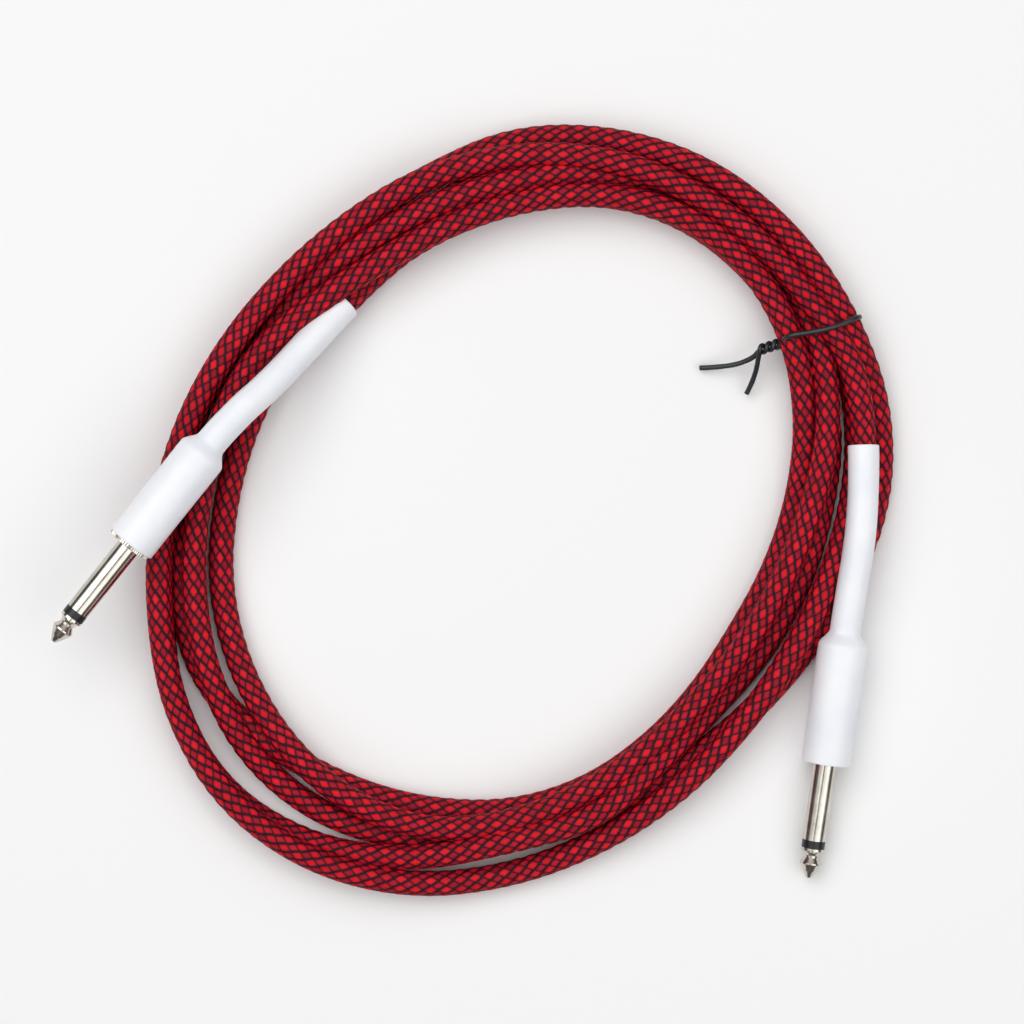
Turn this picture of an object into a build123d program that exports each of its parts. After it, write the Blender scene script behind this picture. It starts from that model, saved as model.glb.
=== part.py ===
from build123d import *
import math
import os

# An instrument cable, loosely coiled and tied, with a straight 6.35 mm two-pole plug on each end.
# Millimetres, +Z up. The coil lies flat on z = 0. Each plug is made along its own axis, with 0 at the
# front face of its flange and its tip towards +Z, and is then set in place at its end of the cable.

# --- Cable -------------------------------------------------------------------------------------------
CORD_D = 7.0
CORD_R = CORD_D / 2
LIFT = 0.02                     # everything stays this far above the surface it lies on

# --- Coil: a ring between an inner ellipse and an outline fanned out from it ---------------------------
COIL_CENTRE = (10.9, 2.3)
COIL_LONG, COIL_SHORT = 87.2, 68.5      # half axes of the inner edge
COIL_TURN = 53.3                # degrees from +X to the long axis
COIL_HEIGHT = 13.6              # two layers of cable, a little nested
# Width of the bundle in cord diameters at each 22.5 degrees, from +X round towards +Y.
BUNDLE_WIDTHS = (4.0, 3.5, 2.93, 2.95, 3.23, 2.95, 2.96, 3.2, 3.4, 3.65, 4.0, 3.9, 3.52, 3.23, 3.0, 3.3)
# Gaps between the fanned turns: start and end angle, lane of the middle at start and end, greatest width.
GAPS = ((205, 250, 2.6, 2.3, 0.75), (256, 282, 2.7, 2.33, 0.45), (226, 242, 1.15, 1.0, 0.4))

# --- Plugs: distances along the axis and radii ---------------------------------------------------------
SLEEVE_R = 6.35 / 2
SLEEVE_LENGTH = 22.2
RING_LENGTH = 2.1
RING_R = 3.15
COLLAR_R = 3.15                 # the tip's widest part, just in front of the ring
TIP_LENGTH = 8.4
ROD_R = 1.0
ROD_TUBE_R = 1.8
FLANGE_R, FLANGE_THICK = 6.2, 1.0
KNURLS, KNURL_DEPTH = 54, 0.13
BOSS_R, BOSS_END = 4.9, -7.5    # threaded boss that the barrel screws on
NECK_R, NECK_END = 2.6, -10.5
WASHER_R, WASHER_END = 3.4, -11.9
LUG_THICK = 0.6
LUG_END = -19.0
STRIP_Y, STRIP_THICK, STRIP_WIDTH = 3.65, 0.5, 2.6
CLAMP_FROM, CLAMP_TO = -27.5, -31.4
CLAMP_OPENING = 70              # degrees left open between the clamp's two tabs
JACKET_FRONT, BRAID_FRONT = -24.5, -26.5
JACKET_R, DIELECTRIC_R, CORE_R = 2.6, 1.3, 0.5
DIELECTRIC_FRONT, CORE_FRONT = -20.5, -16.6
BARREL_R, BARREL_END = 6.25, -34.0
BARREL_BORE, BARREL_WALL_AT = 5.6, -31.6
BARREL_CONE_AT, BARREL_BACK_R = -31.2, 4.7
LINER_R, LINER_WALL = 5.5, 0.4
SHRINK_R = 6.7                  # over the barrel
SHRINK_NARROW_R, SHRINK_NARROW_BORE = 4.2, 3.6
SHRINK_NARROW_AT = -35.2
FIT = 0.05                      # play between turned parts

# --- Where the plugs lie: flange centre and the direction of the tip -----------------------------------
PLUG_A_AT, PLUG_A_HEADING, PLUG_A_DIP = (-91.9, -9.1, 20.6), 231.4, 2.0
PLUG_B_AT, PLUG_B_HEADING, PLUG_B_DIP = (95.4, -67.05, 6.85), 261.95, 4.4
SHRINK_FRONT_A, SHRINK_FRONT_B = -1.0, 0.8      # one stops at the flange, the other laps over it

# --- Cable from each plug to the coil: first where it runs straight on the axis, then point by point ----
LEAD_A_STRAIGHT = -43.0
LEAD_A = ((-53.5, 34.8, 17.0), (-41.0, 49.4, 9.8), (-28.0, 63.6, 5.2), (-14.5, 74.6, 3.8))
LEAD_B_STRAIGHT = -44.0
LEAD_B = ((104.3, -8.0, 11.5), (105.3, 9.0, 11.6), (105.0, 27.5, 10.8), (101.5, 42.0, 9.9))
SHRINK_END_RUN = 4              # the shrink tube ends half way along this run of the lead
RUN_SHARE = 0.45                # share of a run that an arc beside it takes
CHANNEL = 0.4                   # room left round shrink tube and cable where they go through the coil

# --- Twist tie ---------------------------------------------------------------------------------------
TIE_R, TIE_WIRE_R = 0.7, 0.3
TIE_AT, TIE_HEADING = (94.85, 49.45), 17.8      # middle of the bundle there, and outwards across it
TIE_HALF = 11.7                 # from the middle to the wire at each side of the bundle
TIE_LOW, TIE_HIGH = TIE_R + 0.05, COIL_HEIGHT + TIE_R + 0.15
TIE_APART = 0.85                # from the loop's middle plane to each end where the two ends pass
TIE_KNOT_FROM, TIE_KNOT_TO = -13.6, -18.2
TIE_TAIL_LONG = ((75.7, 41.6, 6.0), (69.5, 39.4, 3.6), (61.5, 39.2, 1.6))
TIE_TAIL_SHORT = ((76.4, 36.6, 4.4), (74.2, 32.2, 2.2))
TIE_BEND = 1.3


def turned(*profile):
    """Solid of revolution about Z from a closed profile of (radius, height) points."""
    return revolve(make_face(Polyline(*[(r, 0, z) for r, z in profile], close=True)), Axis.Z)


def ring(inner, outer, low, high):
    return turned((inner, low), (outer, low), (outer, high), (inner, high))


def rod(radius, low, high):
    return turned((0, low), (radius, low), (radius, high), (0, high))


def block(x, y, z):
    """Box from three (low, high) pairs."""
    size = [high - low for low, high in (x, y, z)]
    middle = [(high + low) / 2 for low, high in (x, y, z)]
    return Pos(*middle) * Box(*size)


def arc_radii(points):
    """As large an arc at each inner point as its two runs allow."""
    radii = []
    for before, here, after in zip(points, points[1:], points[2:]):
        arriving, leaving = Vector(*here) - Vector(*before), Vector(*after) - Vector(*here)
        half_turn = math.radians(arriving.get_angle(leaving)) / 2
        radii.append(RUN_SHARE * min(arriving.length, leaving.length) / math.tan(half_turn))
    return radii


def tube(points, radius, radii, bore=None):
    """Round tube along straight runs joined by tangent arcs."""
    path = FilletPolyline(*points, radius=radii)
    section = Circle(radius) - Circle(bore) if bore else Circle(radius)
    swept = sweep(Plane(origin=path @ 0, z_dir=path % 0) * section, path=path)
    return swept, path.length


def along(start, heading, dip, distance):
    """Point on a plug's axis, where distance is negative behind its flange."""
    level = math.cos(math.radians(dip)) * distance
    turn = math.radians(heading)
    drop = math.sin(math.radians(dip)) * distance
    return (start[0] + level * math.cos(turn), start[1] + level * math.sin(turn), start[2] - drop)


# --- Pieces of a plug, each along its own axis ---------------------------------------------------------
def tip_contact():
    base = SLEEVE_LENGTH + RING_LENGTH
    end = base + TIP_LENGTH
    outline = ((ROD_R, base), (COLLAR_R, base), (COLLAR_R, base + 0.7), (2.55, base + 1.2),
               (2.05, base + 2.0), (2.0, base + 2.6), (2.9, base + 4.0), (2.9, base + 4.4), (1.9, base + 6.4),
               (0.8, end - 0.25), (0.45, end))
    rod_head = ((0, WASHER_END - LUG_THICK - 0.7), (1.6, WASHER_END - LUG_THICK - 0.7),
                (1.6, WASHER_END - LUG_THICK), (ROD_R, WASHER_END - LUG_THICK))
    return turned(*rod_head, *outline, (0, end))


def tip_ring():
    return ring(ROD_R, RING_R, SLEEVE_LENGTH, SLEEVE_LENGTH + RING_LENGTH)


def rod_insulator():
    return ring(ROD_R, ROD_TUBE_R, NECK_END, SLEEVE_LENGTH)


def sleeve():
    body = turned((ROD_TUBE_R, NECK_END), (NECK_R, NECK_END), (NECK_R, BOSS_END), (BOSS_R, BOSS_END),
                  (BOSS_R, -FLANGE_THICK), (FLANGE_R, -FLANGE_THICK), (FLANGE_R, -0.2),
                  (FLANGE_R - 0.25, 0), (SLEEVE_R, 0), (SLEEVE_R, SLEEVE_LENGTH - 0.1),
                  (SLEEVE_R - 0.1, SLEEVE_LENGTH), (ROD_TUBE_R, SLEEVE_LENGTH))
    notch = Pos(FLANGE_R, 0, -FLANGE_THICK / 2) * Rot(0, 0, 45) * Box(
        KNURL_DEPTH * 2, KNURL_DEPTH * 2, FLANGE_THICK * 2)
    notches = [Rot(0, 0, 360 * k / KNURLS) * notch for k in range(KNURLS)]
    return body - notches


def rear_washer():
    return ring(ROD_R, WASHER_R, WASHER_END, NECK_END)


def tip_lug():
    disc = ring(ROD_R, NECK_R, WASHER_END - LUG_THICK, WASHER_END)
    tongue = block((-1.1, 1.1), (-2.55, -2.0), (LUG_END, WASHER_END - LUG_THICK / 2))
    return disc + tongue


def ground_lug():
    washer = ring(NECK_R, STRIP_Y + STRIP_THICK, BOSS_END - LUG_THICK, BOSS_END)
    half = STRIP_WIDTH / 2
    strip = block((-half, half), (STRIP_Y, STRIP_Y + STRIP_THICK), (CLAMP_TO, BOSS_END - LUG_THICK / 2))
    clamp = ring(CORD_R + FIT, CORD_R + FIT + STRIP_THICK, CLAMP_TO, CLAMP_FROM)
    reach = 8 * math.tan(math.radians(CLAMP_OPENING / 2))
    wedge = make_face(Polyline((0, 0), (-reach, -8), (reach, -8), close=True))
    opening = Pos(0, 0, CLAMP_TO - 1) * extrude(wedge, CLAMP_FROM - CLAMP_TO + 2)
    return washer + strip + (clamp - opening)


def barrel():
    return turned((BOSS_R + FIT, -FLANGE_THICK), (BARREL_R, -FLANGE_THICK), (BARREL_R, BARREL_CONE_AT),
                  (BARREL_BACK_R, BARREL_END), (CORD_R + 2 * FIT, BARREL_END),
                  (CORD_R + 2 * FIT, BARREL_WALL_AT), (BARREL_BORE, BARREL_WALL_AT),
                  (BARREL_BORE, BOSS_END - 1.2), (BOSS_R + FIT, BOSS_END - 0.6))


def liner():
    return ring(LINER_R - LINER_WALL, LINER_R, BARREL_WALL_AT + 0.6, BOSS_END - 2.0)


def core_end():
    return rod(CORE_R, BRAID_FRONT, CORE_FRONT)


def dielectric_end():
    return ring(CORE_R, DIELECTRIC_R, BRAID_FRONT, DIELECTRIC_FRONT)


def jacket_end():
    return ring(DIELECTRIC_R, JACKET_R, BRAID_FRONT, JACKET_FRONT)


def shield_tail():
    middle = (DIELECTRIC_R + JACKET_R) / 2
    points = ((0, middle, JACKET_FRONT), (0, middle, JACKET_FRONT + 1.4), (0, 3.0, JACKET_FRONT + 3.2),
              (0, 3.0, JACKET_FRONT + 6.0))
    return tube(points, 0.45, [1.0, 1.0])[0]


def tip_solder():
    """A mound of solder from the lug's tongue up to the middle of the core."""
    height = 2.0
    mound = Pos(0, -height / 2, CORE_FRONT - 1.2) * Rot(-90, 0, 0) * Cone(1.05, 0.75, height)
    return mound - core_end()


def ground_solder():
    """A mound of solder from the lug's strip down to the middle of the shield tail."""
    height = STRIP_Y - 3.0
    mound = Pos(0, STRIP_Y - height / 2, JACKET_FRONT + 5.0) * Rot(90, 0, 0) * Cone(1.1, 0.8, height)
    return mound - shield_tail()


def shrink_over_barrel(front):
    """The wide part of the heat-shrink tube, down to the start of its narrow part."""
    return turned((BARREL_R, front), (SHRINK_R - 0.12, front), (SHRINK_R, front - 0.12),
                  (SHRINK_R, BARREL_CONE_AT - 0.1), (SHRINK_NARROW_R, SHRINK_NARROW_AT),
                  (SHRINK_NARROW_BORE, SHRINK_NARROW_AT), (SHRINK_NARROW_BORE, BARREL_END - 0.3),
                  (BARREL_BACK_R, BARREL_END), (BARREL_R, BARREL_CONE_AT))


PLUG_PIECES = {
    "tip_contact": tip_contact, "tip_ring": tip_ring, "rod_insulator": rod_insulator, "sleeve": sleeve,
    "rear_washer": rear_washer, "tip_lug": tip_lug, "ground_lug": ground_lug, "barrel": barrel,
    "liner": liner, "cable_core": core_end, "cable_dielectric": dielectric_end,
    "cable_inner_jacket": jacket_end, "shield_tail": shield_tail, "tip_solder": tip_solder,
    "ground_solder": ground_solder,
}


def lead_route(at, heading, dip, straight, rest):
    """Points of the cable from its cut end in the barrel to the coil."""
    return [along(at, heading, dip, BRAID_FRONT), along(at, heading, dip, straight), *rest]


def half_way(route):
    """Middle of the run on which the shrink tube ends."""
    first, last = Vector(*route[SHRINK_END_RUN - 1]), Vector(*route[SHRINK_END_RUN])
    return tuple((first + last) * 0.5)


def plug(letter, at, heading, dip, front, route):
    """Every piece of one plug in place, and its heat-shrink tube along the cable."""
    ahead = Vector(*along(at, heading, dip, 1.0)) - Vector(*at)
    place = Plane(origin=at, x_dir=Vector(0, 0, 1).cross(ahead), z_dir=ahead).location
    pieces = {f"plug_{letter}_{name}": place * make() for name, make in PLUG_PIECES.items()}
    narrow = [along(at, heading, dip, SHRINK_NARROW_AT), *route[1:SHRINK_END_RUN], half_way(route)]
    radii = arc_radii(route)[:SHRINK_END_RUN - 1]
    tail = tube(narrow, SHRINK_NARROW_R, radii, SHRINK_NARROW_BORE)[0]
    pieces[f"plug_{letter}_heat_shrink"] = place * shrink_over_barrel(front) + tail
    return pieces


# --- Coil --------------------------------------------------------------------------------------------
def coil_point(angle, lanes):
    """Point at an angle round the coil, a number of cord diameters outside its inner edge."""
    turn = math.radians(angle)
    skew = math.radians(angle - COIL_TURN)
    edge = COIL_LONG * COIL_SHORT / math.hypot(COIL_SHORT * math.cos(skew), COIL_LONG * math.sin(skew))
    reach = edge + lanes * CORD_D
    return (COIL_CENTRE[0] + reach * math.cos(turn), COIL_CENTRE[1] + reach * math.sin(turn))


def closed_face(points):
    return make_face(Spline(*points, periodic=True))


def coil_ring():
    step = 360 / len(BUNDLE_WIDTHS)
    inside = closed_face([coil_point(step * k, 0) for k in range(len(BUNDLE_WIDTHS))])
    outside = closed_face([coil_point(step * k, lanes) for k, lanes in enumerate(BUNDLE_WIDTHS)])
    return extrude(outside - inside, COIL_HEIGHT)


def gap(start, end, lane_start, lane_end, width):
    """A crescent of free space between turns that have spread apart."""
    sides = []
    steps = 6
    for side in (0.5, -0.5):
        row = []
        for k in range(1, steps):
            share = k / steps
            lane = lane_start + (lane_end - lane_start) * share
            swell = width * math.sin(math.pi * share) * side
            row.append(coil_point(start + (end - start) * share, lane + swell))
        sides.append(row)
    tips = coil_point(start, lane_start), coil_point(end, lane_end)
    out = Spline(tips[0], *sides[0], tips[1])
    back = Spline(tips[1], *reversed(sides[1]), tips[0])
    return Pos(0, 0, -1) * extrude(make_face(out + back), COIL_HEIGHT + 2)


def channel(route):
    """What the coil leaves free for a cable lead and its shrink tube, barrel and all."""
    radii = arc_radii(route)
    bare = tube(route, CORD_R + CHANNEL, radii)[0]
    covered = [*route[:SHRINK_END_RUN], half_way(route)]
    over = tube(covered, SHRINK_NARROW_R + CHANNEL, radii[:SHRINK_END_RUN - 1])[0]
    cut_end, straight_end = Vector(*route[0]), Vector(*route[1])
    back = (straight_end - cut_end).normalized()
    front = cut_end + back * (BRAID_FRONT - 1)
    round_barrel = extrude(Plane(origin=front, z_dir=back) * Circle(SHRINK_R + CHANNEL),
                           1 - SHRINK_NARROW_AT)
    return bare + over + round_barrel


# --- Twist tie ---------------------------------------------------------------------------------------
def tie_point(across, aside, height):
    turn = math.radians(TIE_HEADING)
    return (TIE_AT[0] + across * math.cos(turn) - aside * math.sin(turn),
            TIE_AT[1] + across * math.sin(turn) + aside * math.cos(turn), height)


def tie_route():
    """Both ends pass side by side at the knot, and the wire goes once round the bundle."""
    middle = COIL_HEIGHT * 0.55
    first = [tie_point(TIE_KNOT_TO, TIE_APART, middle), tie_point(TIE_KNOT_FROM, TIE_APART, middle + 0.4)]
    last = [tie_point(TIE_KNOT_FROM, -TIE_APART, middle - 1.2),
            tie_point(TIE_KNOT_TO, -TIE_APART, middle - 1)]
    loop = [tie_point(-TIE_HALF, TIE_APART, middle + 3), tie_point(-TIE_HALF, TIE_APART, TIE_HIGH),
            tie_point(TIE_HALF, 0, TIE_HIGH), tie_point(TIE_HALF, 0, TIE_LOW),
            tie_point(-TIE_HALF, -TIE_APART, TIE_LOW), tie_point(-TIE_HALF, -TIE_APART, middle - 3.4)]
    return [*reversed(TIE_TAIL_LONG), *first, *loop, *last, *TIE_TAIL_SHORT]


def tie(radius, bore=None):
    points = tie_route()
    return tube(points, radius, [TIE_BEND] * (len(points) - 2), bore)[0]


def put_out(name, shape):
    shape.label = name
    export_step(shape, f"parts/{name}.step")


def main():
    os.makedirs("parts", exist_ok=True)
    route_a = lead_route(PLUG_A_AT, PLUG_A_HEADING, PLUG_A_DIP, LEAD_A_STRAIGHT, LEAD_A)
    route_b = lead_route(PLUG_B_AT, PLUG_B_HEADING, PLUG_B_DIP, LEAD_B_STRAIGHT, LEAD_B)
    nodes = plug("a", PLUG_A_AT, PLUG_A_HEADING, PLUG_A_DIP, SHRINK_FRONT_A, route_a)
    nodes |= plug("b", PLUG_B_AT, PLUG_B_HEADING, PLUG_B_DIP, SHRINK_FRONT_B, route_b)
    coil = Pos(0, 0, LIFT) * coil_ring()
    for crescent in GAPS:
        coil -= gap(*crescent)
    for letter, route in (("a", route_a), ("b", route_b)):
        radii = arc_radii(route)
        lead, length = tube(route, CORD_R, radii)
        nodes[f"cable_lead_{letter}"] = lead
        coil -= channel(route)
        print(f"lead {letter}: bend radii", [round(r, 1) for r in radii])
        print(f"lead {letter}: volume", round(lead.volume), "section x length",
              round(math.pi * CORD_R**2 * length))
    nodes["cable_coil"] = coil - tie(TIE_R + 0.15)
    nodes["tie_cover"] = tie(TIE_R, TIE_WIRE_R)
    nodes["tie_wire"] = tie(TIE_WIRE_R)
    for name, shape in nodes.items():
        put_out(name, shape)


main()
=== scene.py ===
import math
import bpy
import numpy as np
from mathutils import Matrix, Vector


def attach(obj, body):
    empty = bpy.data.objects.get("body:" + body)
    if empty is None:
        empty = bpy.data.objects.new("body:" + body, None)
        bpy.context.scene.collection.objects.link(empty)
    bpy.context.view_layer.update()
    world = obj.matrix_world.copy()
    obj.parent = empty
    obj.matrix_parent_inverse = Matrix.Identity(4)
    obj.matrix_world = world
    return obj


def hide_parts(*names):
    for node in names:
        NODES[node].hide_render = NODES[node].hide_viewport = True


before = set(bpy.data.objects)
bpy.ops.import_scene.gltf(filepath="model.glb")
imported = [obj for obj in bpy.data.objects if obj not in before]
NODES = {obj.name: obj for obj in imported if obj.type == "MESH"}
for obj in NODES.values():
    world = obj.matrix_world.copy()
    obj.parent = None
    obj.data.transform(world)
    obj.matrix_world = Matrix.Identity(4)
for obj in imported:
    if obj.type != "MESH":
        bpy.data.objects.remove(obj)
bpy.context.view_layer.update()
MM = 0.001


def add_object(name, data):
    made = bpy.data.objects.new(name, data)
    bpy.context.scene.collection.objects.link(made)
    return made


# --- Camera: straight down, 277 mm across at the height of one layer of cable ---------------------------
CAMERA_AT = (10.4, 0, 1008)
CAMERA_LENS, CAMERA_SENSOR = 130, 36

camera = bpy.data.cameras.new("camera")
camera.lens, camera.sensor_width = CAMERA_LENS, CAMERA_SENSOR
camera_object = add_object("camera", camera)
camera_object.location = [k * MM for k in CAMERA_AT]
bpy.context.scene.camera = camera_object
bpy.context.scene.view_settings.view_transform = "Standard"

# --- The route, in millimetres as in the CAD source -----------------------------------------------------
CORD_D = 7.0
CORD_R = CORD_D / 2
LIFT = 0.02                     # the lowest turns lie this far above the floor
COIL_CENTRE = (10.9, 2.3)
COIL_LONG, COIL_SHORT = 87.2, 68.5      # half-axes of the coil's inner edge
COIL_TURN = 53.3                # degrees from +X to its long axis
BRAID_FRONT = -26.5             # where the cable starts on a plug's axis, behind the flange
# On each plug: its flange's place and heading, how far it dips towards its tip, where the cable leaves its
# axis, where the shrink tube's front is, and the lead's points from there to the coil.
PLUGS = {
    "a": {"at": (-91.9, -9.1, 20.6), "heading": 231.4, "dip": 2.0, "straight": -43.0, "front": -1.0,
          "lead": ((-53.5, 34.8, 17.0), (-41.0, 49.4, 9.8), (-28.0, 63.6, 5.2), (-14.5, 74.6, 3.8))},
    "b": {"at": (95.4, -67.05, 6.85), "heading": 261.95, "dip": 4.4, "straight": -44.0, "front": 0.8,
          "lead": ((104.3, -8.0, 11.5), (105.3, 9.0, 11.6), (105.0, 27.5, 10.8), (101.5, 42.0, 9.9))},
}
# How the turns lie: clockwise from lead a, at each angle round the coil, the five or six passes of the
# cable. Each pair is how far out its axis is from the inner edge and how high it is, in cord diameters.
TURNS = (
    (120, (.25, .5), (2.37, .5), (.47, 1.6), (1.46, 1.35), (1.2, .5), (2.37, 1.5)),
    (105, (.45, .5), (2.44, .5), (.31, 1.45), (1.27, 1.4), (1.25, .5), (2.37, 1.5)),
    (90, (.5, .5), (2.82, .5), (.3, 1.4), (1.15, 1.55), (1.6, .5), (2.1, 1.45)),
    (75, (.5, .5), (2.6, .9), (.4, 1.4), (1.3, 1.2), (1.95, .5), (1.74, 1.7)),
    (60, (.5, .5), (2.43, 1.4), (.5, 1.4), (1.45, .6), (2.4, .5), (1.42, 1.6)),
    (45, (.55, .5), (2.43, 1.45), (.55, 1.4), (1.5, .5), (2.45, .5), (1.43, 1.5)),
    (30, (.85, .5), (2.76, 1.3), (.55, 1.4), (1.6, .8), (2.4, .5), (1.95, 1.55)),
    (15, (1.5, .5), (3.42, .6), (.5, .7), (1.4, 1.45), (2.55, .5)),
    (0, (1.42, .5), (3.58, .5), (.38, .5), (.97, 1.4), (2.55, .5)),
    (-15, (1.42, .5), (3.1, .5), (.28, .5), (.72, 1.4), (2.36, 1.1)),
    (-30, (1.36, .5), (2.67, .5), (.2, .5), (.63, 1.4), (2.32, 1.4)),
    (-45, (1.14, .6), (2.3, .5), (.4, .5), (.55, 1.4), (2.37, 1.45)),
    (-60, (1.2, 1.3), (2.0, .5), (.6, .5), (.65, 1.45), (2.6, 1.2)),
    (-75, (1.85, 1.45), (1.8, .5), (.75, .5), (.8, 1.4), (2.8, .8)),
    (-90, (1.6, 1.5), (1.6, .5), (.63, .5), (.96, 1.4), (3.04, .5)),
    (-105, (2.2, 1.2), (1.5, .5), (.3, .5), (1.05, 1.35), (3.3, .9)),
    (-120, (2.95, .5), (1.7, .5), (.28, .5), (.68, 1.4), (3.4, 1.45)),
    (-135, (3.46, .5), (1.74, .7), (.85, .5), (.36, 1.3), (3.46, 1.5)),
    (-150, (3.42, .5), (1.62, 1.45), (1.98, .5), (.4, .7), (3.26, 1.5)),
    (-165, (2.9, .5), (1.55, 1.3), (2.2, .5), (.56, .5), (2.95, 1.5)),
    (180, (2.8, .5), (1.6, 1.4), (1.85, .5), (.6, .5), (2.92, 1.5)),
    (165, (2.75, .5), (1.65, 1.45), (1.65, .5), (.7, .5), (2.82, 1.5)),
    (150, (2.65, .5), (1.6, 1.45), (1.65, .5), (.75, .5), (2.65, 1.5)),
    (135, (2.45, .5), (.95, 1.75), (1.75, .8), (.85, .5), (2.46, 1.5)),
)
MOST_PASSES = 6
FIRST_SKIPPED = (120, 105)      # the first pass starts after lead a, which lies at these angles itself
SPLINE_SAG = 1.0085             # the control points are this much further out, as the spline cuts inside them


def plug_axis(plug):
    """Direction from a plug's barrel to its tip."""
    turn, dip = math.radians(plug["heading"]), math.radians(plug["dip"])
    return Vector((math.cos(dip) * math.cos(turn), math.cos(dip) * math.sin(turn), -math.sin(dip)))


def along(plug, distance):
    """Point on a plug's axis, where distance is negative behind its flange."""
    return Vector(plug["at"]) + plug_axis(plug) * distance


def coil_point(angle, lane, height):
    turn, skew = math.radians(angle), math.radians(angle - COIL_TURN)
    edge = COIL_LONG * COIL_SHORT / math.hypot(COIL_SHORT * math.cos(skew), COIL_LONG * math.sin(skew))
    reach = (edge + lane * CORD_D) * SPLINE_SAG
    return Vector((COIL_CENTRE[0] + reach * math.cos(turn), COIL_CENTRE[1] + reach * math.sin(turn),
                   height * CORD_D + LIFT))


def lead_points(plug):
    return [along(plug, BRAID_FRONT), along(plug, plug["straight"]), *map(Vector, plug["lead"])]


def cable_points():
    points = lead_points(PLUGS["a"])
    for turn in range(MOST_PASSES):
        for angle, *passes in TURNS:
            if turn < len(passes) and not (turn == 0 and angle in FIRST_SKIPPED):
                points.append(coil_point(angle, *passes[turn]))
    return points + list(reversed(lead_points(PLUGS["b"])))


# --- Lines and tubes ------------------------------------------------------------------------------------
UPRIGHT = (0, 0, 1.0)


def spline_line(points, name, resolution):
    """Points read from one NURBS spline on the given control points, all in millimetres."""
    curve = bpy.data.curves.new(name, "CURVE")
    curve.dimensions = "3D"
    spline = curve.splines.new("NURBS")
    spline.points.add(len(points) - 1)
    for knot, point in zip(spline.points, points):
        knot.co = (*point, 1)
    spline.order_u = 3
    spline.use_endpoint_u = True
    spline.resolution_u = resolution
    holder = add_object(name, curve)
    mesh = bpy.data.meshes.new_from_object(holder)
    found = np.array([v.co[:] for v in mesh.vertices])
    bpy.data.objects.remove(holder)
    bpy.data.meshes.remove(mesh)
    return found


def distances(points):
    """How far along a line each of its points is."""
    return np.concatenate(([0], np.cumsum(np.linalg.norm(np.diff(points, axis=0), axis=1))))


def points_at(points, gone, wanted):
    """Points of a line at the wanted distances, where gone is the distance of each of its own."""
    return np.stack([np.interp(wanted, gone, points[:, k]) for k in range(3)], axis=1)


def even_steps(points, step):
    """The same line at even distances, with the distance of each point."""
    gone = distances(points)
    wanted = np.linspace(0, gone[-1], int(round(gone[-1] / step)) + 1)
    return points_at(points, gone, wanted), wanted


def unit(vectors):
    return vectors / np.linalg.norm(vectors, axis=-1, keepdims=True)


def level_frame(ahead):
    """Sideways and upwards directions at each point of a line that is nowhere upright."""
    side = unit(np.cross(ahead, UPRIGHT))
    return side, np.cross(side, ahead)


def turns_of(count):
    """The angles of the points of a ring."""
    return 2 * math.pi * np.arange(count) / count


def rings_on(middles, side, up, radius, around):
    """Rings of points round a line. The radius has a row for each ring and a column for each point."""
    angle = turns_of(around)
    spokes = np.cos(angle)[None, :, None] * side[:, None] + np.sin(angle)[None, :, None] * up[:, None]
    return middles[:, None] + radius[..., None] * spokes


def tube_object(name, rings, closed_ends=True):
    """Object with a smooth tube through rings of points in millimetres."""
    rows, around = rings.shape[:2]
    here = np.arange(around)
    after = (here + 1) % around
    row = np.arange(rows - 1)[:, None] * around
    quads = np.stack([row + here, row + after, row + around + after, row + around + here], axis=2)
    faces = quads.reshape(-1, 4).tolist()
    if closed_ends:
        last = (rows - 1) * around
        faces += [list(range(around))[::-1], list(range(last, last + around))]
    mesh = bpy.data.meshes.new(name)
    mesh.from_pydata((rings.reshape(-1, 3) * MM).tolist(), [], faces)
    mesh.shade_smooth()
    return add_object(name, mesh)


# --- The cable ------------------------------------------------------------------------------------------
AROUND = 48
ROUTE_RESOLUTION = 24
RING_STEP = 0.55
COLUMNS = 8                     # lozenges of the braid round the cable
REPEAT = 4.1                    # length along the cable after which the braid repeats
RELIEF = 0.26                   # height of a big lozenge over the yarns between
SMALL_SUNK = 0.45               # a small lozenge is lower by this share of it
CROWN = 3                       # a higher power gives a flatter top with steeper sides
TWIST_LENGTH = 1400.0           # the braid goes once round the cable in this length
SWAYS = ((0.09, 83.0, 0.0), (0.05, 37.0, 1.0))      # shares of a turn, length for each radian, phase


def map_braid(mesh, lengthways, shift):
    """Map for each corner of the tube: lozenges round the cable and repeats of the braid along it."""
    column = np.arange(AROUND + 1) * (COLUMNS / AROUND)
    across, gone = np.broadcast_arrays(column[None] + shift[:, None], lengthways[:, None])
    grid = np.stack([across, gone], axis=2)
    corners = np.stack([grid[:-1, :-1], grid[:-1, 1:], grid[1:, 1:], grid[1:, :-1]], axis=2).reshape(-1, 2)
    on_loops = np.zeros((len(mesh.loops), 2))       # the two end faces come last and stay at zero
    on_loops[:len(corners)] = corners
    mesh.uv_layers.new(name="braid").data.foreach_set("uv", on_loops.ravel())


def braid_radius(lengthways, shift):
    """Radius at each point of each ring: crowned lozenges, big and small ones in turn."""
    across = COLUMNS * np.arange(AROUND) / AROUND + shift[:, None]
    p, q = across + lengthways[:, None], across - lengthways[:, None]
    cell_p, cell_q = np.round(p), np.round(q)
    small = np.abs((cell_p + cell_q) % 2)
    off_p, off_q = np.abs(p - cell_p) * 2, np.abs(q - cell_q) * 2
    crown = (1 - off_p ** CROWN) * (1 - off_q ** CROWN) * (1 - SMALL_SUNK * small)
    return CORD_R - RELIEF + RELIEF * crown


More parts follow.
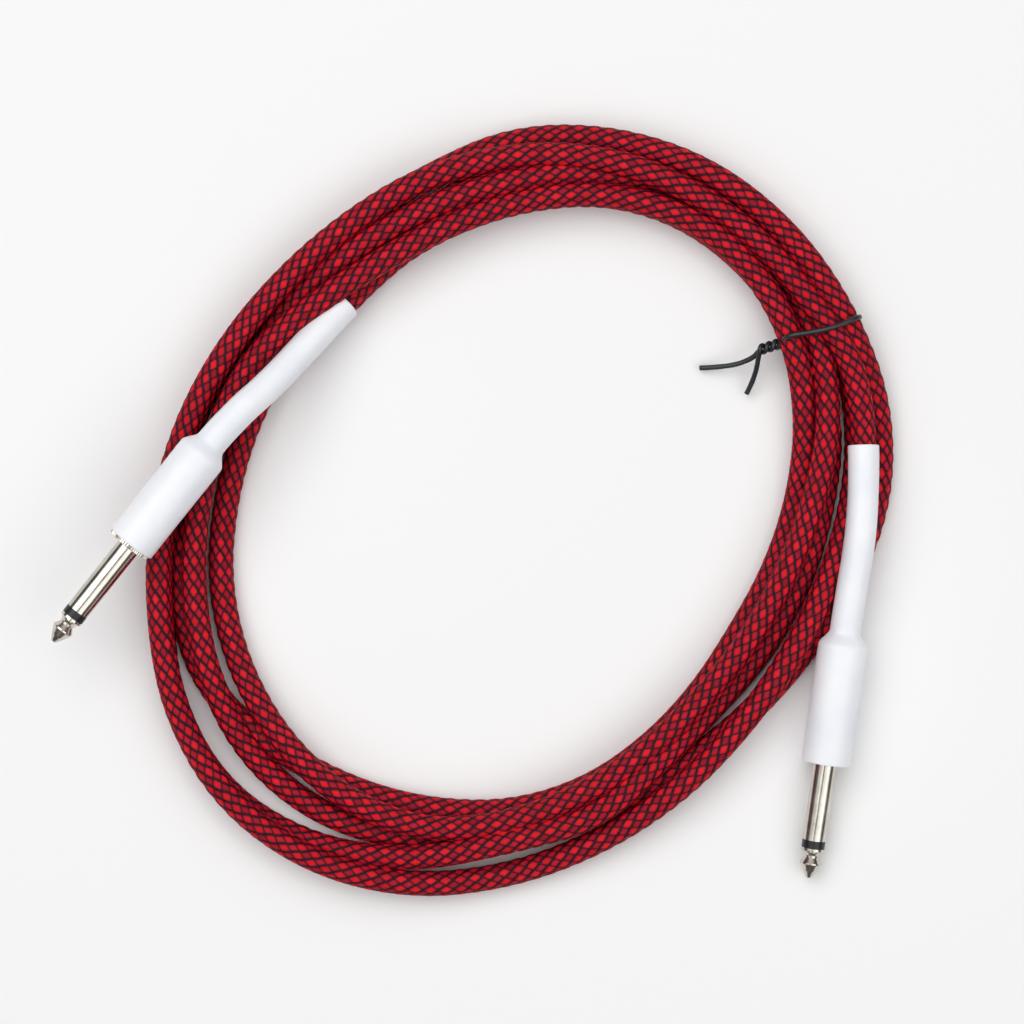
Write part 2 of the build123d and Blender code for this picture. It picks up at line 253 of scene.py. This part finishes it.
line, reach = even_steps(spline_line(cable_points(), "cable_route", ROUTE_RESOLUTION), RING_STEP)
repeats = reach / REPEAT
sway = sum(share * np.sin(reach / size + phase) for share, size, phase in SWAYS)
shift = COLUMNS * (reach / TWIST_LENGTH + sway)
cable_side, cable_up = level_frame(unit(np.gradient(line, axis=0)))
cable = tube_object("cable", rings_on(line, cable_side, cable_up, braid_radius(repeats, shift), AROUND))
map_braid(cable.data, repeats, shift)

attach(cable, "root")
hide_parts("cable_lead_a", "cable_coil", "cable_lead_b")

# --- Materials ------------------------------------------------------------------------------------------
NOISE_LOW, NOISE_HIGH = 0.3, 0.7        # a noise texture does nearly all its varying between these


class Look:
    """A material made of nodes."""

    def __init__(self, name):
        self.material = bpy.data.materials.new(name)
        self.material.use_nodes = True
        self.tree = self.material.node_tree
        self.shader = self.tree.nodes["Principled BSDF"]

    def node(self, kind, inputs=None, **settings):
        made = self.tree.nodes.new("ShaderNode" + kind)
        for key, value in settings.items():
            setattr(made, key, value)
        for key, value in (inputs or {}).items():
            self.put(made.inputs[key], value)
        return made

    def put(self, socket, value):
        if isinstance(value, bpy.types.NodeSocket):
            self.tree.links.new(value, socket)
        else:
            socket.default_value = value

    def math(self, operation, *values):
        return self.node("Math", dict(enumerate(values)), operation=operation).outputs[0]

    def blend(self, share, low, high):
        """Colour between low, at a share of 0, and high, at 1. Sockets 6 and 7 are the two colours."""
        return self.node("Mix", {0: share, 6: low, 7: high}, data_type="RGBA").outputs[2]

    def span(self, value, from_low, from_high, to_low=0.0, to_high=1.0, smooth=False):
        inputs = {"Value": value, "From Min": from_low, "From Max": from_high, "To Min": to_low,
                  "To Max": to_high}
        return self.node("MapRange", inputs,
                         interpolation_type="SMOOTHSTEP" if smooth else "LINEAR").outputs[0]

    def vary(self, noise, low=0.0, high=1.0):
        return self.span(noise, NOISE_LOW, NOISE_HIGH, low, high)

    def where(self):
        return self.node("TexCoord").outputs["Object"]

    def noise(self, scale, detail=4.0, rough=0.55):
        inputs = {"Scale": scale, "Detail": detail, "Roughness": rough, "Vector": self.where()}
        return self.node("TexNoise", inputs).outputs[0]

    def bump(self, height, depth, strength, **normal):
        """Bump of a depth in metres, on top of another one given as Normal."""
        inputs = {"Height": height, "Distance": depth, "Strength": strength, **normal}
        return self.node("Bump", inputs).outputs[0]

    def set(self, **values):
        for key, value in values.items():
            self.put(self.shader.inputs[key.replace("_", " ")], value)
        return self.material


def srgb(red, green, blue):
    def linear(level):
        level /= 255
        return level / 12.92 if level <= 0.04045 else ((level + 0.055) / 1.055) ** 2.4
    return (linear(red), linear(green), linear(blue), 1)


BRIGHT_RED = srgb(186, 12, 26), srgb(238, 30, 44)
DULL_RED = srgb(136, 12, 32), srgb(202, 24, 51)
# The black yarn's colour runs from near-black up to a purple painted highlight.
BLACK_YARN_AND_HIGHLIGHT = srgb(14, 5, 9), srgb(78, 22, 42)
# Painted shade: the dark red that each lozenge takes on towards its rim.
EDGE_SHADE_RED = srgb(96, 4, 18)
BIG_HALF, SMALL_HALF = (0.485, 0.40), (0.43, 0.33)      # half-sizes of lozenges across p and q, in cells
CORNER = 4.0                    # a higher power gives a lozenge sharper corners
FRAY = 0.12                     # how far fibres stray over a lozenge's edge
FILAMENTS = 9                   # visible along each lozenge
FIBRE_SCALE = 2600              # of the noise that stands for single fibres
OUTLINE = 0.82, 1.08            # the red gives way to black between these
EDGE_SHADE = 0.35, 0.95, 0, 0.45      # painted shade: between the first two edge values a lozenge darkens towards its rim, by the last two's shares
ROUNDED = 0.5, 1.25             # a lozenge falls off to the yarns between these


def braid_look():
    """Red lozenges with filaments along them, each in its own tone, between near-black yarns. The colour also
    holds painted shade towards each lozenge's rim, painted sheen along the filaments and a painted highlight
    on the black yarns.
    """
    look = Look("braid")
    place = look.node("SeparateXYZ", {0: look.node("UVMap", uv_map="braid").outputs[0]})
    across, lengthways = place.outputs[0], place.outputs[1]
    p, q = look.math("ADD", across, lengthways), look.math("SUBTRACT", across, lengthways)
    cell_p, cell_q = look.math("ROUND", p), look.math("ROUND", q)
    off_p, off_q = look.math("SUBTRACT", p, cell_p), look.math("SUBTRACT", q, cell_q)
    small = look.math("PINGPONG", look.math("ADD", cell_p, cell_q), 1.0)
    reached = [look.math("POWER", look.math("DIVIDE", look.math("ABSOLUTE", off),
                                            look.span(small, 0, 1, big_half, small_half)), CORNER)
               for off, big_half, small_half in zip((off_p, off_q), BIG_HALF, SMALL_HALF)]
    fibre = look.noise(FIBRE_SCALE, 2, 0.6)
    # The edge is 0 in a lozenge's middle and 1 at its outline, apart from the fray.
    edge = look.math("ADD", look.math("POWER", look.math("ADD", *reached), 1 / CORNER),
                     look.vary(fibre, -FRAY, FRAY))
    is_red = look.span(edge, *OUTLINE, 1, 0, True)
    cell = look.node("CombineXYZ", {0: cell_p, 1: cell_q}).outputs[0]
    chance = look.node("TexWhiteNoise", {"Vector": cell}, noise_dimensions="3D").outputs[0]
    filaments = look.math("SINE", look.math("MULTIPLY", off_q, 2 * math.pi * FILAMENTS))
    # Painted sheen: the stripes along the filaments lighten and darken the red. The fibre noise adds random
    # tone on top.
    shade = look.math("ADD", look.math("MULTIPLY", filaments, 0.13), look.vary(fibre, -0.3, 0.3))
    share = look.span(look.math("ADD", chance, shade), -0.3, 1.3)
    red_yarn = look.blend(small, look.blend(share, *BRIGHT_RED), look.blend(share, *DULL_RED))
    # Painted shade darkens each lozenge towards its rim.
    edge_shaded_yarn = look.blend(look.span(edge, *EDGE_SHADE), red_yarn, EDGE_SHADE_RED)
    # Fibre noise spreads the purple painted highlight over the black yarns.
    black_yarn_and_highlight = look.blend(look.span(fibre, 0.35, NOISE_HIGH), *BLACK_YARN_AND_HIGHLIGHT)
    height = look.math("ADD", look.span(edge, *ROUNDED, 1, 0, True), look.math("MULTIPLY", filaments, 0.10))
    weave = look.bump(height, 0.00022, 0.7)
    return look.set(Base_Color=look.blend(is_red, black_yarn_and_highlight, edge_shaded_yarn),
                    Roughness=look.vary(fibre, 0.5, 0.7), Specular_IOR_Level=0.14,
                    Normal=look.bump(fibre, 0.00006, 0.6, Normal=weave))


def shrink_look():
    look = Look("shrink")
    soft, grain = look.noise(60, 3), look.noise(900, 3)
    height = look.math("ADD", look.math("MULTIPLY", soft, 0.8), look.math("MULTIPLY", grain, 0.2))
    return look.set(Base_Color=look.blend(look.vary(soft), srgb(234, 237, 244), srgb(246, 247, 250)),
                    Roughness=look.vary(grain, 0.34, 0.46), Normal=look.bump(height, 0.0002, 0.5),
                    Specular_IOR_Level=0.45)


def metal_look(name, plug, low, high, rough_low, rough_high, lines):
    """Turned metal: fine rings round the plug's own axis, and faint smudges."""
    look = Look(name)
    gone = look.node("VectorMath", {0: look.where(), 1: plug_axis(plug)}, operation="DOT_PRODUCT")
    inputs = {"W": look.math("MULTIPLY", gone.outputs["Value"], lines), "Scale": 1.0, "Detail": 3.0}
    turned = look.node("TexNoise", inputs, noise_dimensions="1D").outputs[0]
    smudge = look.noise(140, 4, 0.6)
    rough = look.math("ADD", look.span(smudge, 0.35, NOISE_HIGH, rough_low, rough_high),
                      look.math("MULTIPLY", turned, 0.04))
    return look.set(Base_Color=look.blend(look.vary(smudge), low, high), Metallic=1.0, Roughness=rough,
                    Normal=look.bump(turned, 0.000002, 0.6))


def grained_look(name, low, high, rough_low, rough_high, scale, depth=0.00003, **more):
    """Moulded plastic, or solder: a fine grain, and a softer change of colour eight times its size."""
    look = Look(name)
    soft, grain = look.noise(scale / 8, 3), look.noise(scale, 4)
    return look.set(Base_Color=look.blend(look.vary(soft), low, high),
                    Roughness=look.vary(grain, rough_low, rough_high),
                    Normal=look.bump(grain, depth, 0.5), **more)


def copper_look():
    """Stranded wire, a little tarnished."""
    look = Look("copper")
    lay = look.node("Mapping", {"Vector": look.where(), "Rotation": (0.6, 0.9, 0.4)}).outputs[0]
    wires = look.node("TexWave", {"Vector": lay, "Scale": 900.0, "Distortion": 1.5, "Detail": 2.0}).outputs[1]
    tarnish = look.noise(300)
    return look.set(Base_Color=look.blend(look.vary(tarnish), srgb(176, 98, 62), srgb(222, 142, 98)),
                    Metallic=1.0, Roughness=look.vary(tarnish, 0.28, 0.45),
                    Normal=look.bump(wires, 0.00005, 0.7))


def dress(material, *names):
    for name in names:
        mesh = NODES[name].data
        mesh.materials.clear()
        mesh.materials.append(material)


cable.data.materials.append(braid_look())
copper = copper_look()
solder = grained_look("solder", srgb(150, 152, 156), srgb(196, 198, 202), 0.18, 0.34, 500, 0.00008,
                      Metallic=1.0)
LOOKS = {
    "tip_ring": grained_look("ring_plastic", srgb(10, 10, 11), srgb(26, 26, 28), 0.3, 0.42, 1200),
    "rod_insulator": grained_look("clear_insulator", srgb(214, 210, 196), srgb(232, 228, 214), 0.3, 0.45,
                                  900),
    "rear_washer": grained_look("washer_plastic", srgb(10, 10, 11), srgb(30, 30, 32), 0.35, 0.5, 1200),
    "liner": grained_look("liner_plastic", srgb(206, 210, 206), srgb(226, 230, 226), 0.35, 0.5, 700),
    "cable_dielectric": grained_look("dielectric", srgb(226, 224, 216), srgb(244, 242, 236), 0.35, 0.5, 900),
    "cable_inner_jacket": grained_look("inner_jacket", srgb(18, 18, 20), srgb(38, 38, 40), 0.4, 0.55, 900),
    "cable_core": copper,
    "shield_tail": copper,
    "tip_solder": solder,
    "ground_solder": solder,
}
# Metals: two colours, least and most roughness, turned rings for each metre, and the parts made of it
METALS = {
    "nickel": (srgb(190, 184, 174), srgb(222, 216, 206), 0.12, 0.22, 2600.0, ("tip_contact", "sleeve")),
    "lug": (srgb(176, 166, 128), srgb(206, 196, 158), 0.25, 0.4, 1500.0, ("tip_lug", "ground_lug")),
    "shell": (srgb(158, 158, 156), srgb(190, 190, 188), 0.2, 0.34, 2600.0, ("barrel",)),
}
for letter, plug in PLUGS.items():
    for metal, (*finish, parts) in METALS.items():
        dress(metal_look(f"{metal}_{letter}", plug, *finish), *(f"plug_{letter}_{part}" for part in parts))
    for part, material in LOOKS.items():
        dress(material, f"plug_{letter}_{part}")

# --- Heat-shrink tubes: over the barrel, down its shoulder and along the cable ----------------------------
SHRINK_AROUND = 72
SHRINK_STEP = 0.8               # between rings where the tube is even
SHRINK_END_RUN = 4              # it ends half way along this run of the lead
SHRINK_SEEDS = {"a": 7, "b": 11}
SHRINK_R, NARROW_R, BARREL_R = 6.7, 4.2, 6.25
FRONT_GAP = 0.02                # between the barrel and the tube's front edge
BACK_R, BACK_DEEP = 3.48, 1.5   # the tube's inner side at the back, and how far in it goes
SHOULDER_FROM, SHOULDER_TO, SHOULDER_RINGS = -31.0, -35.4, 15
LIP = 0.3                       # radius of the rounded edge at both ends
LIP_ANGLES = (0.0, 0.6, 1.1, math.pi / 2)
EASE_LENGTH = 12                # the tube passes from the plug's axis to the cable's line over this length
WAVES, WAVE_COUNTS, WAVE_RATES, WAVE_HIGH = 5, (2, 6), (0.05, 0.3), 0.011
FULL_PHASE = 6.3
FOLDS, FOLD_HIGH, FOLD_AT, FOLD_LONG = 9, 0.05, -33.6, 2.2      # small folds on the shoulder


def shrink_profile(front, back):
    """Rings of the tube from inside its front edge to inside its back: (distance, radius)."""
    profile = [(front, BARREL_R + FRONT_GAP)]
    profile += [(front + LIP * (math.sin(a) - 1), SHRINK_R - LIP * (1 - math.cos(a)))
                for a in reversed(LIP_ANGLES)]
    profile += [(distance, SHRINK_R)
                for distance in np.arange(front - SHRINK_STEP, SHOULDER_FROM, -SHRINK_STEP)]
    for share in np.linspace(0, 1, SHOULDER_RINGS):
        ease = share * share * (3 - 2 * share)
        profile.append((SHOULDER_FROM + (SHOULDER_TO - SHOULDER_FROM) * share,
                        SHRINK_R + (NARROW_R - SHRINK_R) * ease))
    profile += [(distance, NARROW_R)
                for distance in np.arange(SHOULDER_TO - SHRINK_STEP, back + SHRINK_STEP, -SHRINK_STEP)]
    profile += [(back + LIP * (1 - math.sin(a)), NARROW_R - LIP * (1 - math.cos(a))) for a in LIP_ANGLES]
    return np.array(profile + [(back, BACK_R), (back + BACK_DEEP, BACK_R)]).T


def shrink_radius(letter, distance, radius):
    """Radius at each point of each ring, with slow waves all over and folds on the shoulder."""
    random = np.random.default_rng(SHRINK_SEEDS[letter])
    waves = zip(random.integers(*WAVE_COUNTS, WAVES), random.uniform(0, FULL_PHASE, WAVES),
                random.uniform(*WAVE_RATES, WAVES))
    angle, distance = turns_of(SHRINK_AROUND)[None], distance[:, None]
    wavy = sum(np.sin(count * angle + phase + rate * distance) * WAVE_HIGH for count, phase, rate in waves)
    near_shoulder = np.exp(-((distance - FOLD_AT) / FOLD_LONG) ** 2)
    folds = near_shoulder * FOLD_HIGH * np.sin(FOLDS * angle + 0.4 * np.sin(distance))
    return radius[:, None] + wavy + folds


def shrink_tube(letter, cable_line, material):
    """The tube follows the plug's axis over the barrel and the cable's own line behind it."""
    plug = PLUGS[letter]
    gone = distances(cable_line)
    run = lead_points(plug)[SHRINK_END_RUN - 1:SHRINK_END_RUN + 1]
    end = int(np.argmin(np.linalg.norm(cable_line - np.array((run[0] + run[1]) * 0.5), axis=1)))
    distance, radius = shrink_profile(plug["front"], BRAID_FRONT - gone[end])
    on_axis = np.array([along(plug, k) for k in distance])
    on_cable = points_at(cable_line, gone, BRAID_FRONT - distance)
    share = np.clip((SHOULDER_FROM - distance) / EASE_LENGTH, 0, 1)[:, None]
    middles = on_axis * (1 - share) + on_cable * share
    backwards = -np.array(plug_axis(plug))
    ahead = np.gradient(middles, axis=0)
    ahead[np.linalg.norm(ahead, axis=1) < 1e-4] = backwards     # where two rings share a middle
    ahead[(ahead @ backwards) < 0] *= -1                        # where the tube turns in on itself
    side, up = level_frame(unit(ahead))
    rings = rings_on(middles, side, up, shrink_radius(letter, distance, radius), SHRINK_AROUND)
    made = tube_object(f"shrink_tube_{letter}", rings, closed_ends=False)
    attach(made, "root")
    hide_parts(f"plug_{letter}_heat_shrink")
    made.data.materials.append(material)
    return made


shrink_plastic = shrink_look()
shrink_tube("a", line, shrink_plastic)
shrink_b = shrink_tube("b", line[::-1], shrink_plastic)

# --- Twist tie ------------------------------------------------------------------------------------------
TIE_R, TIE_WIRE_R, TIE_AROUND = 0.7, 0.3, 20
TIE_RESOLUTION, TIE_STEP = 12, 0.3
TIE_AT, TIE_HEADING = (94.85, 49.45), 17.8
TIE_IN, TIE_OUT = 11.7, 9.7     # how far in and out it reaches round the bundle
TIE_LOW, TIE_HIGH = 0.75, 14.3  # its heights under and over the bundle
TIE_KNOT_FROM, TIE_KNOT_TO = -12.6, -18.4
TIE_TAIL_LONG = ((75.7, 41.6, 6.0), (69.5, 39.4, 3.6), (61.5, 39.2, 1.6))
TIE_TAIL_SHORT = ((76.4, 36.6, 4.4), (74.2, 32.2, 2.2))
TIE_SWELLS = ((0.02, 1.9, 0.0), (0.015, 0.73, 1.0))     # shares of the radius, length for each radian, phase
WIRE_PROUD = 0.12               # the wire shows this far at the cover's two ends
KNOT_HEIGHT, KNOT_R, KNOT_TURNS, KNOT_STEPS = 8.2, 0.95, 1.5, 16


def tie_point(across, aside, height):
    """Point across the bundle outwards, aside along the cable and above the floor."""
    turn = math.radians(TIE_HEADING)
    return Vector((TIE_AT[0] + across * math.cos(turn) - aside * math.sin(turn),
                   TIE_AT[1] + across * math.sin(turn) + aside * math.cos(turn), height))


def knot_strand(phase):
    """One of the two ends where they are twisted round each other, going inwards from the bundle."""
    points = []
    for k in range(KNOT_STEPS + 1):
        share = k / KNOT_STEPS
        turn = phase + 2 * math.pi * KNOT_TURNS * share
        points.append(tie_point(TIE_KNOT_FROM + (TIE_KNOT_TO - TIE_KNOT_FROM) * share,
                                KNOT_R * math.cos(turn), KNOT_HEIGHT + KNOT_R * math.sin(turn)))
    return points


def tie_points():
    """Along the long end, through the knot, over and under the bundle, and out along the short end."""
    loop = [tie_point(-TIE_IN, 0.7, 10.6), tie_point(-TIE_IN + 0.9, 1.0, 13.0),
            tie_point(-TIE_IN + 3, 0.9, TIE_HIGH - 0.4), tie_point(-TIE_IN / 2, 0.4, TIE_HIGH - 0.2),
            tie_point(-2.5, -0.1, TIE_HIGH + 0.2), tie_point(1, -0.4, TIE_HIGH + 0.5),
            tie_point(4.5, -0.3, TIE_HIGH + 0.1), tie_point(TIE_OUT - 2, 0.1, TIE_HIGH - 0.6),
            tie_point(TIE_OUT, 0.2, 12.2), tie_point(TIE_OUT + 0.4, 0.1, 8.0), tie_point(TIE_OUT, 0, 3.4),
            tie_point(TIE_OUT - 1.4, 0, TIE_LOW), tie_point(0, 0, TIE_LOW),
            tie_point(-TIE_IN + 1.2, -0.4, TIE_LOW), tie_point(-TIE_IN - 0.3, -0.6, 4.2)]
    return [*map(Vector, reversed(TIE_TAIL_LONG)), *reversed(knot_strand(math.pi / 2)), *loop,
            *knot_strand(-math.pi / 2), *map(Vector, TIE_TAIL_SHORT)]


def carried_frame(ahead):
    """Directions carried along a line without twist, for one that is upright in places."""
    side = np.zeros_like(ahead)
    side[0] = unit(np.cross(ahead[0], UPRIGHT))
    for k in range(1, len(side)):
        side[k] = unit(side[k - 1] - ahead[k] * np.dot(side[k - 1], ahead[k]))
    return side, np.cross(side, ahead)


def tie_tube(name, radius, stands_for, material, proud=0):
    """The cover, or the wire in it, which stands proud of the cover at both ends."""
    middles, gone = even_steps(spline_line(tie_points(), "tie_route", TIE_RESOLUTION), TIE_STEP)
    ahead = unit(np.gradient(middles, axis=0))
    middles[0] -= ahead[0] * proud
    middles[-1] += ahead[-1] * proud
    swell = radius * (1 + sum(share * np.sin(gone / size + phase) for share, size, phase in TIE_SWELLS))
    made = tube_object(name, rings_on(middles, *carried_frame(ahead), swell[:, None], TIE_AROUND))
    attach(made, "root")
    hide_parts(stands_for)
    made.data.materials.append(material)


cover = grained_look("tie_cover", srgb(16, 20, 23), srgb(34, 40, 44), 0.28, 0.42, 900, 0.00002,
                     Specular_IOR_Level=0.55)
steel = grained_look("tie_steel", srgb(150, 150, 150), srgb(186, 186, 186), 0.3, 0.45, 700, Metallic=1.0)
tie_tube("twist_tie", TIE_R, "tie_cover", cover)
tie_tube("twist_tie_wire", TIE_WIRE_R, "tie_wire", steel, WIRE_PROUD)

# --- Floor and light, in metres -------------------------------------------------------------------------
FLOOR = 4.0                     # half its side
STUDIO = ((0.0, 0.5), (0.12, 0.12), (0.42, 0.10), (0.62, 0.9), (0.86, 0.9), (0.95, 0.25))
STUDIO_STRENGTH = 0.85
LAMP_SIZE = 1.3
LAMPS = (("key", (-0.4, 0.45, 1.3), 11.0), ("fill", (0.7, -0.4, 1.3), 5.5))


def add_floor():
    mesh = bpy.data.meshes.new("floor")
    mesh.from_pydata([(-FLOOR, -FLOOR, 0), (FLOOR, -FLOOR, 0), (FLOOR, FLOOR, 0), (-FLOOR, FLOOR, 0)], [],
                     [(0, 1, 2, 3)])
    mesh.materials.append(Look("floor").set(Base_Color=(0.9, 0.9, 0.9, 1), Roughness=0.9))
    return add_object("floor", mesh)


def light_studio():
    """Grey world whose level follows STUDIO upwards: pairs of a place on the ramp and a level."""
    world = bpy.data.worlds.new("studio")
    world.use_nodes = True
    bpy.context.scene.world = world
    tree = world.node_tree
    backdrop = tree.nodes["Background"]
    split = tree.nodes.new("ShaderNodeSeparateXYZ")
    ramp = tree.nodes.new("ShaderNodeValToRGB")
    tree.links.new(tree.nodes.new("ShaderNodeTexCoord").outputs["Generated"], split.inputs[0])
    tree.links.new(split.outputs[2], ramp.inputs[0])
    tree.links.new(ramp.outputs[0], backdrop.inputs["Color"])
    while len(ramp.color_ramp.elements) < len(STUDIO):
        ramp.color_ramp.elements.new(0.5)
    for stop, (place, level) in zip(ramp.color_ramp.elements, STUDIO):
        stop.position, stop.color = place, (level, level, level, 1)
    backdrop.inputs["Strength"].default_value = STUDIO_STRENGTH


def add_lamp(name, at, power):
    """Square lamp aimed at the origin."""
    light = bpy.data.lights.new(name, "AREA")
    light.size, light.energy = LAMP_SIZE, power
    lamp = add_object(name, light)
    lamp.location = at
    lamp.rotation_mode = "QUATERNION"
    lamp.rotation_quaternion = (-Vector(at)).to_track_quat("-Z", "Y")


floor = add_floor()
light_studio()
for lamp in LAMPS:
    add_lamp(*lamp)
